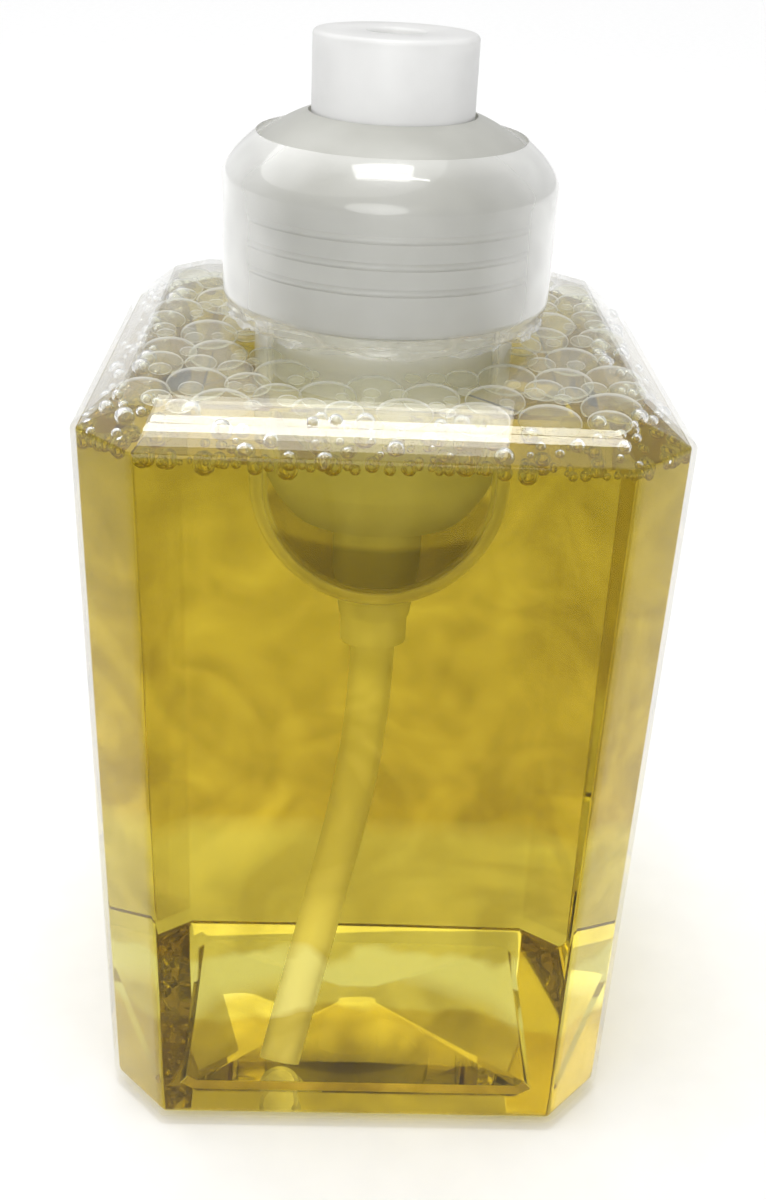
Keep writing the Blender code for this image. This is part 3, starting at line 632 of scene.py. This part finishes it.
def make_bottle():
    fillet = arc((NECK_RADIUS + NECK_FILLET, PLATE_HEIGHT + NECK_FILLET), NECK_FILLET, 270, 180,
                 steps=8)
    outer = push_up_rings(0.0) + heel_rings(0.0, 0.0)
    outer += shoulder_rings(0.0, 0.0)
    outer += [circle_ring(r, z) for r, z in fillet]
    outer.append(circle_ring(NECK_RADIUS, NECK_TOP))
    inner = push_up_rings(BASE_WALL) + heel_rings(WALL, BASE_WALL)
    inner += shoulder_rings(WALL, WALL)
    inner += [circle_ring(r - NECK_RADIUS + NECK_BORE, z - WALL) for r, z in fillet]
    inner.append(circle_ring(NECK_BORE, NECK_TOP))
    bm = skin(bmesh.new(), outer + inner[::-1])
    add_thread(bm)
    bottle = new_piece("clear_bottle", bm, shell_material("bottle_plastic"))
    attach(bottle, "bottle")
    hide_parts("bottle")


def make_liquid():
    """The soap reaches just into the wall round it, so that no air lies between them.

    Its wet foam climbs the bevel in a rim.
    """
    inset = WALL - WETTING
    floor = BASE_WALL - WETTING
    rings = push_up_rings(floor) + heel_rings(inset, floor)
    for ring in shoulder_rings(inset, inset):
        if ring[0][2] < RIM_TOP:
            rings.append(ring)
    rings += [body_ring(RIM_INSET, RIM_TOP),
              body_ring((RIM_INSET + RIM_FOOT) / 2, LIQUID_LEVEL + RIM_STEP),
              body_ring(RIM_FOOT, LIQUID_LEVEL)]
    liquid = new_piece("soap_body", skin(bmesh.new(), rings), liquid_material())
    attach(liquid, "bottle")
    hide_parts("liquid_soap")


# Froth

def shoulder_inset(height):
    """How far the shoulder's inside has moved in at a height."""
    share = (height - (SHOULDER_HEIGHT - WALL / 2)) / (PLATE_HEIGHT - SHOULDER_HEIGHT - WALL / 2)
    return WALL + (BEVEL_INSET - WALL) * min(max(share, 0.0), 1.0)


def inside_shoulder(x, y, height, margin):
    """True if a point keeps a margin to the bottle's inside."""
    inset = shoulder_inset(height) + margin
    half_x = HALF_WIDTH - inset
    half_y = HALF_DEPTH - inset
    cut = CORNER_CHAMFER - inset * (2 - math.sqrt(2))
    return abs(x) < half_x and abs(y) < half_y and abs(x) + abs(y) < half_x + half_y - cut


def unit_sphere(level):
    """Points and triangles of a sphere of radius 1."""
    bm = bmesh.new()
    bmesh.ops.create_icosphere(bm, subdivisions=level, radius=1.0)
    points = np.array([vert.co[:] for vert in bm.verts])
    faces = np.array([[vert.index for vert in face.verts] for face in bm.faces])
    bm.free()
    return points, faces


def joined_bubbles(name, bubbles, flatness, material):
    """One mesh of many bubbles, each given as (x, y, z, radius)."""
    fine, coarse = unit_sphere(3), unit_sphere(2)
    all_points, all_faces, count = [], [], 0
    for x, y, z, radius in bubbles:
        points, faces = fine if radius > FINELY_FACETED else coarse
        all_points.append(points * (radius, radius, radius * flatness) + (x, y, z))
        all_faces.append(faces + count)
        count += len(points)
    mesh = bpy.data.meshes.new(name)
    mesh.from_pydata(np.concatenate(all_points).tolist(), [], np.concatenate(all_faces).tolist())
    mesh.materials.append(material)
    mesh.shade_smooth()
    piece = bpy.data.objects.new(name, mesh)
    bpy.context.scene.collection.objects.link(piece)
    piece.visible_shadow = False
    return piece


def packed_bubbles(rng, tries, sizes, height_of, spacing, border=0.0):
    """Bubbles dropped at random between the shoulder and the pump, the large ones first.

    A border keeps them out of the middle share of the bottle.
    """
    placed = np.zeros((0, 4))
    for attempt in range(tries):
        radius = sizes[1] * (sizes[0] / sizes[1]) ** (attempt / tries)
        x = rng.uniform(-HALF_WIDTH, HALF_WIDTH)
        y = rng.uniform(-HALF_DEPTH, HALF_DEPTH)
        z = height_of(rng, radius)
        if max(abs(x) / HALF_WIDTH, abs(y) / HALF_DEPTH) < border * rng.uniform(0.85, 1.1):
            continue
        if math.hypot(x, y) < CYLINDER_RADIUS + PUMP_CLEARANCE * radius:
            continue
        if not inside_shoulder(x, y, z, SHOULDER_CLEARANCE * radius):
            continue
        gaps = np.linalg.norm(placed[:, :3] - (x, y, z), axis=1) - spacing * (placed[:, 3] + radius)
        if (gaps > 0).all():
            placed = np.vstack([placed, (x, y, z, radius)])
    return placed.tolist()


def make_cells():
    """Large flattened bubbles pressed against the underside of the shoulder plate."""

    def under_plate(_, radius):
        return PLATE_HEIGHT - WALL - PLATE_GAP - CELL_FLATNESS * radius

    cell_film = film_material("cell_film", haze=0.10, rim=0.8, rim_start=0.62, rim_end=0.85,
                              tint=(0.98, 0.98, 0.91))
    bubbles = packed_bubbles(random.Random(11), tries=2600, sizes=CELL_SIZES, height_of=under_plate,
                             spacing=0.82)
    return joined_bubbles("froth_cells", bubbles, CELL_FLATNESS, cell_film)


def make_small_bubbles():
    """Small bubbles that crowd under the bevel and into the corners."""

    def between(rng, _):
        return rng.uniform(LIQUID_LEVEL - UNDER_LEVEL, RIM_TOP)

    bubbles = packed_bubbles(random.Random(5), tries=5500, sizes=SMALL_BUBBLES, height_of=between,
                             spacing=1.0, border=0.86)
    return joined_bubbles("froth_bubbles", bubbles, 1.0, air_material("froth_air"))


def make_line_bubbles():
    """The row of bubbles that hangs from the liquid's edge along the walls."""
    rng = random.Random(23)
    smallest, spread, rarity = 0.0004, 0.0011, 2.2
    ring = [Vector(point) for point in body_ring(WALL, LIQUID_LEVEL)]
    bubbles = []
    for start, end in zip(ring, ring[1:] + ring[:1]):
        length = (end - start).length
        along = rng.uniform(0.0, 0.0006)
        while along < length:
            radius = smallest + spread * rng.random() ** rarity
            place = start.lerp(end, along / length)
            inward = -Vector((place.x, place.y, 0.0)).normalized()
            centre = place + inward * (radius * 1.25)
            bubbles.append((centre.x, centre.y, LIQUID_LEVEL - radius * rng.uniform(0.1, 1.0), radius))
            along += radius * rng.uniform(1.3, 3.2)
    return joined_bubbles("line_bubbles", bubbles, 1.0, air_material("line_air"))


def make_froth():
    for piece in (make_cells(), make_small_bubbles(), make_line_bubbles()):
        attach(piece, "bottle")
        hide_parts("soap_froth")


# Pump

def bowl_arc(radius, steps=24):
    """The bowl's section, from the liquid cylinder out to the air cylinder."""
    start = 270 + math.degrees(math.asin(LIQUID_CYLINDER / radius))
    return arc((0.0, BOWL_CENTRE), radius, start, 360, steps)


def make_bowl():
    """The housing's clear flange, air cylinder and bowl, bright at its rim and darkened under the piston
    by painted shade.
    """
    inner = CYLINDER_RADIUS - CYLINDER_WALL
    outline = [(FLANGE_RADIUS, FLANGE_TOP), (FLANGE_RADIUS, FLANGE_BOTTOM),
               (CYLINDER_RADIUS, FLANGE_BOTTOM)]
    outline += bowl_arc(CYLINDER_RADIUS)[::-1]
    outline += bowl_arc(inner)
    outline.append((inner, FLANGE_TOP))
    # Painted shade: the bowl darkens what is seen through it below the piston
    wall = film_material("bowl_wall", haze=0.02, rim=1.0, rim_start=0.56, rim_end=0.62,
                         tint=(0.99, 0.99, 0.98), painted_shade_tint=(0.75, 0.73, 0.60))
    bowl = turned("housing_bowl", outline, wall)
    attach(bowl, "pump_body")
    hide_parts("pump_housing")


def make_liquid_cylinder(plastic):
    """The housing's milky inner cylinder, its taper and the tube's socket."""
    socket_bore = TUBE_RADIUS + SEAT_GAP
    socket_top = SOCKET_BOTTOM + SOCKET_DEPTH
    orifice_top = socket_top + ORIFICE_LENGTH
    outline = [(LIQUID_CYLINDER, TAPER_TOP), (SOCKET_RADIUS + TAPER_STEP, TAPER_BOTTOM),
               (SOCKET_RADIUS, TAPER_BOTTOM), (SOCKET_RADIUS, SOCKET_BOTTOM),
               (socket_bore, SOCKET_BOTTOM), (socket_bore, socket_top),
               (ORIFICE_RADIUS, socket_top), (ORIFICE_RADIUS, orifice_top),
               (BALL_ROOM_RADIUS, orifice_top + BALL_ROOM_RADIUS - ORIFICE_RADIUS),
               (BALL_ROOM_RADIUS, BALL_ROOM_TOP), (SPRING_SEAT_BORE, SPRING_SEAT),
               (LIQUID_BORE, SPRING_SEAT), (LIQUID_BORE, LIQUID_CYLINDER_TOP),
               (LIQUID_CYLINDER, LIQUID_CYLINDER_TOP)]
    cylinder = turned("liquid_cylinder", outline, plastic)
    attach(cylinder, "pump_body")
    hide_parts("pump_housing")


def make_piston(plastic):
    """The air piston: a cup whose floor has the bowl's curve, on a hub with a sleeve for the stem."""
    centre = (0.0, BOWL_CENTRE + STROKE)
    floor_edge = math.sqrt(PISTON_SWEEP ** 2 - (centre[1] - PISTON_FLOOR) ** 2)
    start = 270 + math.degrees(math.asin(floor_edge / PISTON_SWEEP))
    end = 270 + math.degrees(math.asin(PISTON_RADIUS / PISTON_SWEEP))
    hub_radius = HUB_BORE + PISTON_WALL
    lip_bottom = PISTON_TOP - PISTON_LIP
    web = LIQUID_CYLINDER_TOP + STROKE + SEAT_GAP
    outline = [(HUB_BORE, PISTON_FLOOR)]
    outline += arc(centre, PISTON_SWEEP, start, end, 16)
    outline += [(PISTON_RADIUS, lip_bottom), (PISTON_SWEEP, PISTON_TOP),
                (PISTON_SWEEP - PISTON_WALL, PISTON_TOP),
                (PISTON_RADIUS - PISTON_WALL, lip_bottom - PISTON_WALL)]
    outline += arc(centre, PISTON_SWEEP - PISTON_WALL, start, end, 16)[::-1]
    outline += [(hub_radius, PISTON_FLOOR + PISTON_WALL), (hub_radius, web + PISTON_WALL),
                (SLEEVE_RADIUS, web + PISTON_WALL), (SLEEVE_RADIUS, web + SLEEVE_LENGTH),
                (SLEEVE_BORE, web + SLEEVE_LENGTH), (SLEEVE_BORE, web), (HUB_BORE, web)]
    piston = turned("piston_cup", outline, plastic)
    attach(piston, "plunger")
    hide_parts("air_piston")


def tube_rings(radius, sides=32, bend_steps=24):
    """Rings from the socket down through the bend and straight on to the tube's foot."""
    stations = [(0.0, Vector((0.0, 0.0, SOCKET_BOTTOM + SOCKET_DEPTH - SEAT_GAP)))]
    for step in range(bend_steps + 1):
        slant = TUBE_SLANT * step / bend_steps
        centre = TUBE_LEAN * (TUBE_BEND * (1 - math.cos(slant)))
        centre.z = SOCKET_BOTTOM - TUBE_BEND * math.sin(slant)
        stations.append((slant, centre))
    run = TUBE_LEAN * math.tan(TUBE_SLANT) - Vector((0.0, 0.0, 1.0))
    stations.append((TUBE_SLANT, stations[-1][1] + run * (stations[-1][1].z - TUBE_END)))
    level = Vector((-TUBE_LEAN.y, TUBE_LEAN.x, 0.0))
    rings = []
    for slant, centre in stations:
        across = TUBE_LEAN * math.cos(slant) + Vector((0.0, 0.0, math.sin(slant)))
        turns = [2 * math.pi * side / sides for side in range(sides)]
        rings.append([centre + level * (radius * math.sin(t)) + across * (radius * math.cos(t))
                      for t in turns])
    return rings


def make_tube(plastic):
    bm = skin(bmesh.new(), tube_rings(TUBE_RADIUS) + tube_rings(TUBE_BORE)[::-1], closed=True)
    tube = new_piece("suction_tube", bm, plastic)
    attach(tube, "pump_body")
    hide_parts("dip_tube")


def make_spring(steel):
    """The return spring, which shortens as the head is pressed."""
    low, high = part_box("return_spring")
    steps = COIL_TURNS * COIL_STEPS
    rings = []
    for step in range(steps + 1):
        angle = 2 * math.pi * step / COIL_STEPS
        outward = Vector((math.cos(angle), math.sin(angle), 0.0))
        height = low.z + COIL_WIRE + (high.z - low.z - 2 * COIL_WIRE) * step / steps
        ring = []
        for side in range(WIRE_SIDES):
            turn = 2 * math.pi * side / WIRE_SIDES
            reach = COIL_RADIUS + COIL_WIRE * math.cos(turn)
            ring.append(outward * reach + Vector((0.0, 0.0, height + COIL_WIRE * math.sin(turn))))
        rings.append(ring)
    spring = new_piece("spring_coil", skin(bmesh.new(), rings), steel)
    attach(spring, "pump_body")
    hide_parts("return_spring")
    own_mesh(spring)


def make_head(plastic):
    """The round head, with its foam outlet on top and the mesh tube inside."""
    inside = HEAD_RADIUS - HEAD_WALL
    roof = HEAD_TOP - HEAD_ROOF
    ledge = HEAD_TOP - OUTLET_DEPTH
    outline = [(HEAD_RADIUS, HEAD_BOTTOM), (HEAD_RADIUS, HEAD_FLANGE_BOTTOM),
               (HEAD_FLANGE_RADIUS, HEAD_FLANGE_BOTTOM), (HEAD_FLANGE_RADIUS, HEAD_FLANGE_TOP),
               (HEAD_RADIUS, HEAD_FLANGE_TOP)]
    outline += arc((HEAD_RADIUS - HEAD_EDGE, HEAD_TOP - HEAD_EDGE), HEAD_EDGE, 0, 90, 6)
    outline += arc((OUTLET_RADIUS + OUTLET_EDGE, HEAD_TOP - OUTLET_EDGE), OUTLET_EDGE, 90, 180, 4)
    outline += [(OUTLET_RADIUS, ledge), (MESH_BORE, ledge), (MESH_BORE, MESH_TUBE_BOTTOM),
                (MESH_TUBE_RADIUS, MESH_TUBE_BOTTOM), (MESH_TUBE_RADIUS, roof), (inside, roof),
                (inside, HEAD_BOTTOM)]
    head = turned("press_head", outline, plastic)
    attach(head, "plunger")
    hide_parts("actuator_head")


# Collar and film

def dome_point(share, offset):
    """A point of the collar's shoulder curve, moved out square to it by an offset."""
    ends = ((COLLAR_RADIUS, COLLAR_SHOULDER), (COLLAR_RADIUS, COLLAR_SHOULDER + DOME_SIDE_PULL),
            (HEAD_HOLE + DOME_TOP_PULL, COLLAR_TOP - DOME_TOP_DROP), (HEAD_HOLE, COLLAR_TOP))
    left = 1 - share
    weights = (left ** 3, 3 * left ** 2 * share, 3 * left * share ** 2, share ** 3)
    slopes = (3 * left ** 2, 6 * left * share, 3 * share ** 2)
    r = sum(w * end[0] for w, end in zip(weights, ends))
    z = sum(w * end[1] for w, end in zip(weights, ends))
    dr = sum(s * (b[0] - a[0]) for s, a, b in zip(slopes, ends, ends[1:]))
    dz = sum(s * (b[1] - a[1]) for s, a, b in zip(slopes, ends, ends[1:]))
    length = math.hypot(dr, dz)
    return r + offset * dz / length, z - offset * dr / length


def make_collar(plastic):
    """The collar's wall with its raised rings, its dome, and the ledge that holds the flange down."""
    bore = COLLAR_RADIUS - COLLAR_WALL
    ledge = FLANGE_TOP + SEAT_GAP
    shares = [step / DOME_STEPS for step in range(DOME_STEPS + 1)]
    outline = [(bore, COLLAR_BOTTOM), (COLLAR_RADIUS - COLLAR_FOOT_EDGE, COLLAR_BOTTOM),
               (COLLAR_RADIUS, COLLAR_BOTTOM + COLLAR_FOOT_EDGE)]
    for height in RING_HEIGHTS:
        outline.append((COLLAR_RADIUS, height - RING_HALF))
        outline += [(COLLAR_RADIUS + RING_PROUD * math.cos(t), height + RING_ROUND * math.sin(t))
                    for t in (math.radians(d) for d in (-60, -30, 0, 30, 60))]
        outline.append((COLLAR_RADIUS, height + RING_HALF))
    outline += [dome_point(share, 0.0) for share in shares]
    inner = [dome_point(share, -COLLAR_WALL) for share in shares]
    inner = [point for point in inner if point[0] < CYLINDER_RADIUS]
    inner[-1] = (HEAD_HOLE, inner[-1][1])
    outline += inner[::-1]
    outline += [(CYLINDER_RADIUS, inner[0][1]), (CYLINDER_RADIUS, ledge), (bore, ledge)]
    collar = turned("ringed_collar", outline, plastic, COLLAR_STEPS)
    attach(collar, "collar")
    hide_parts("screw_collar")


def around(angle, reach, height):
    """A place on a ring in a noise field, so that the noise closes on itself round the collar."""
    return Vector((math.cos(angle) * reach, math.sin(angle) * reach, height))


def film_wave(angle, height):
    """How far the film stands off, in metres: soft ripples above, pleats where it is gathered."""
    ripple = RIPPLE_DEPTH * noise.noise(around(angle, 3.0, height * 160.0))
    gathered = min(max((COLLAR_BOTTOM + GATHER_RISE - height) / GATHER_RUN, 0.0), 1.0)
    place = around(angle, 3.5, height * 700.0)
    dimension, lacunarity, octaves, offset, gain = 1.0, 2.0, 3, 0.9, 2.0
    pleat = noise.ridged_multi_fractal(place, dimension, lacunarity, octaves, offset, gain) - offset
    return ripple + gathered * (PLEAT_DEPTH * pleat - PLEAT_PULL)


def make_film():
    """The shrunk film over the collar, gathered in loose creases round the neck."""
    side_height = COLLAR_SHOULDER - FILM_BOTTOM
    section = [(COLLAR_RADIUS + FILM_GAP, FILM_BOTTOM + side_height * row / FILM_ROWS)
               for row in range(FILM_ROWS)]
    section += [dome_point(FILM_COVER * step / FILM_DOME_ROWS, FILM_GAP)
                for step in range(FILM_DOME_ROWS + 1)]
    rings = []
    for index, (r, z) in enumerate(section):
        ring = []
        for side in range(FILM_SIDES):
            angle = 2 * math.pi * side / FILM_SIDES
            out = r + film_wave(angle, z)
            lift = 0.0
            if index < EDGE_ROWS:
                edge = noise.noise(around(angle, 6.0, 2.0))
                lift = EDGE_LIFT * (edge + 0.5) * (EDGE_ROWS - index) / EDGE_ROWS
            ring.append((out * math.cos(angle), out * math.sin(angle), z + lift))
        rings.append(ring)
    thin_film = film_material("shrink_film", haze=0.10, rim=0.95, rim_start=0.2, rim_end=0.85,
                              tint=(1.0, 1.0, 1.0), shine=0.4)
    film = new_piece("shrink_film", skin(bmesh.new(), rings, capped=False), thin_film, sharp_deg=180)
    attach(film, "collar")
    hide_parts("shrink_band")


# Stage

def add_camera():
    forward = Vector((math.sin(VIEW_YAW) * math.cos(VIEW_PITCH),
                      math.cos(VIEW_YAW) * math.cos(VIEW_PITCH), math.sin(VIEW_PITCH)))
    right = Vector((math.cos(VIEW_YAW), -math.sin(VIEW_YAW), 0.0))
    up = right.cross(forward)
    tilted_right = right * math.cos(VIEW_ROLL) + up * math.sin(VIEW_ROLL)
    tilted_up = up * math.cos(VIEW_ROLL) - right * math.sin(VIEW_ROLL)
    data = bpy.data.cameras.new("photo_view")
    data.lens = VIEW_LENS
    data.sensor_width = SENSOR
    data.clip_start = 0.01
    camera = bpy.data.objects.new("photo_view", data)
    camera.matrix_world = Matrix((tilted_right, tilted_up, -forward)).transposed().to_4x4()
    camera.matrix_world.translation = VIEW_PLACE
    bpy.context.scene.collection.objects.link(camera)
    bpy.context.scene.camera = camera


def add_lamp(name, place, size, power):
    """A rectangular lamp that shines straight down."""
    data = bpy.data.lights.new(name, "AREA")
    data.shape = "RECTANGLE"
    data.size, data.size_y = size
    data.energy = power
    lamp = bpy.data.objects.new(name, data)
    lamp.location = place
    bpy.context.scene.collection.objects.link(lamp)


def add_far_lamp(name, heading, strength, spread_deg):
    """A wide, even lamp far away, shining along a heading."""
    data = bpy.data.lights.new(name, "SUN")
    data.energy = strength
    data.angle = math.radians(spread_deg)
    lamp = bpy.data.objects.new(name, data)
    lamp.rotation_euler = Vector(heading).to_track_quat("-Z", "Y").to_euler()
    bpy.context.scene.collection.objects.link(lamp)


def add_world():
    """An even white world, full where it is seen and dimmer in reflections and where it lights."""
    world = bpy.data.worlds.new("studio")
    bpy.context.scene.world = world
    world.use_nodes = True
    nodes, links = world.node_tree.nodes, world.node_tree.links
    path = nodes.new("ShaderNodeLightPath")
    seen = maths(nodes, links, "MAXIMUM", path.outputs["Is Camera Ray"],
                 path.outputs["Is Transmission Ray"])
    links.new(ranged(nodes, links, seen, low=WORLD_LIGHT), nodes["Background"].inputs["Strength"])
    nodes["Background"].inputs["Color"].default_value = (1.0, 1.0, 1.0, 1.0)


def add_floor():
    bm = bmesh.new()
    bmesh.ops.create_grid(bm, x_segments=2, y_segments=2, size=FLOOR_HALF)
    pale = solid_material("pale_floor", (0.93, 0.93, 0.93), (0.95, 0.95, 0.95),
                          roughness=0.9, grain=0.0)
    pale.node_tree.nodes["Principled BSDF"].inputs["Specular IOR Level"].default_value = 0.0
    floor = new_piece("floor", bm, pale)
    floor.location.z = -FLOOR_DROP


def set_scene():
    scene = bpy.context.scene
    scene.view_settings.view_transform = "Standard"
    scene.cycles.max_bounces = 14
    scene.cycles.glossy_bounces = 12
    scene.cycles.transmission_bounces = 14
    scene.cycles.transparent_max_bounces = 18
    add_camera()
    add_world()
    add_floor()
    add_lamp("overhead", (-0.05, -0.10, 1.1), size=(0.40, 0.24), power=1.9)
    add_lamp("overhead_strip", (0.03, -0.157, 1.09), size=(0.52, 0.026), power=0.7)
    add_far_lamp("sky", (0.35, -0.1, -1.0), strength=1.1, spread_deg=80)
    add_far_lamp("front", (0.15, 0.9, -0.35), strength=1.0, spread_deg=40)


def main():
    set_scene()
    make_bottle()
    make_liquid()
    make_froth()
    frosted = frosted_material("frosted_plastic", (0.54, 0.54, 0.50), (0.61, 0.61, 0.57),
                               roughness=0.3, clearness=0.4)
    pale = frosted_material("pale_plastic", (0.78, 0.78, 0.77), (0.84, 0.84, 0.83),
                            roughness=0.35, clearness=0.3)
    milky = frosted_material("milky_tube", (0.96, 0.96, 0.92), (1.0, 1.0, 0.97),
                             roughness=0.35, clearness=0.6, ior=SUNK_PLASTIC_IOR)
    cloudy = frosted_material("cloudy_cylinder", (0.92, 0.92, 0.88), (1.0, 1.0, 0.96),
                              roughness=0.5, clearness=0.3, ior=SUNK_PLASTIC_IOR)
    white = frosted_material("white_plastic", (0.90, 0.90, 0.87), (0.95, 0.95, 0.92),
                             roughness=0.5, clearness=0.45)
    soft = solid_material("soft_seal", (0.68, 0.68, 0.66), (0.76, 0.76, 0.74), roughness=0.7)
    steel = solid_material("spring_steel", (0.42, 0.42, 0.42), (0.55, 0.55, 0.55),
                           roughness=0.3, metallic=1.0)
    make_bowl()
    make_liquid_cylinder(cloudy)
    make_piston(white)
    make_tube(milky)
    make_spring(steel)
    make_head(pale)
    make_collar(frosted)
    make_film()
    finishes = {"neck_gasket": soft, "air_valve": soft, "inlet_ball": steel, "outlet_ball": steel,
                "liquid_piston": white, "piston_stem": white, "mesh_cartridge": white,
                "coarse_mesh": white, "fine_mesh": white}
    for name, material in finishes.items():
        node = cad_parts[name]
        node.data.materials.clear()
        node.data.materials.append(material)


main()
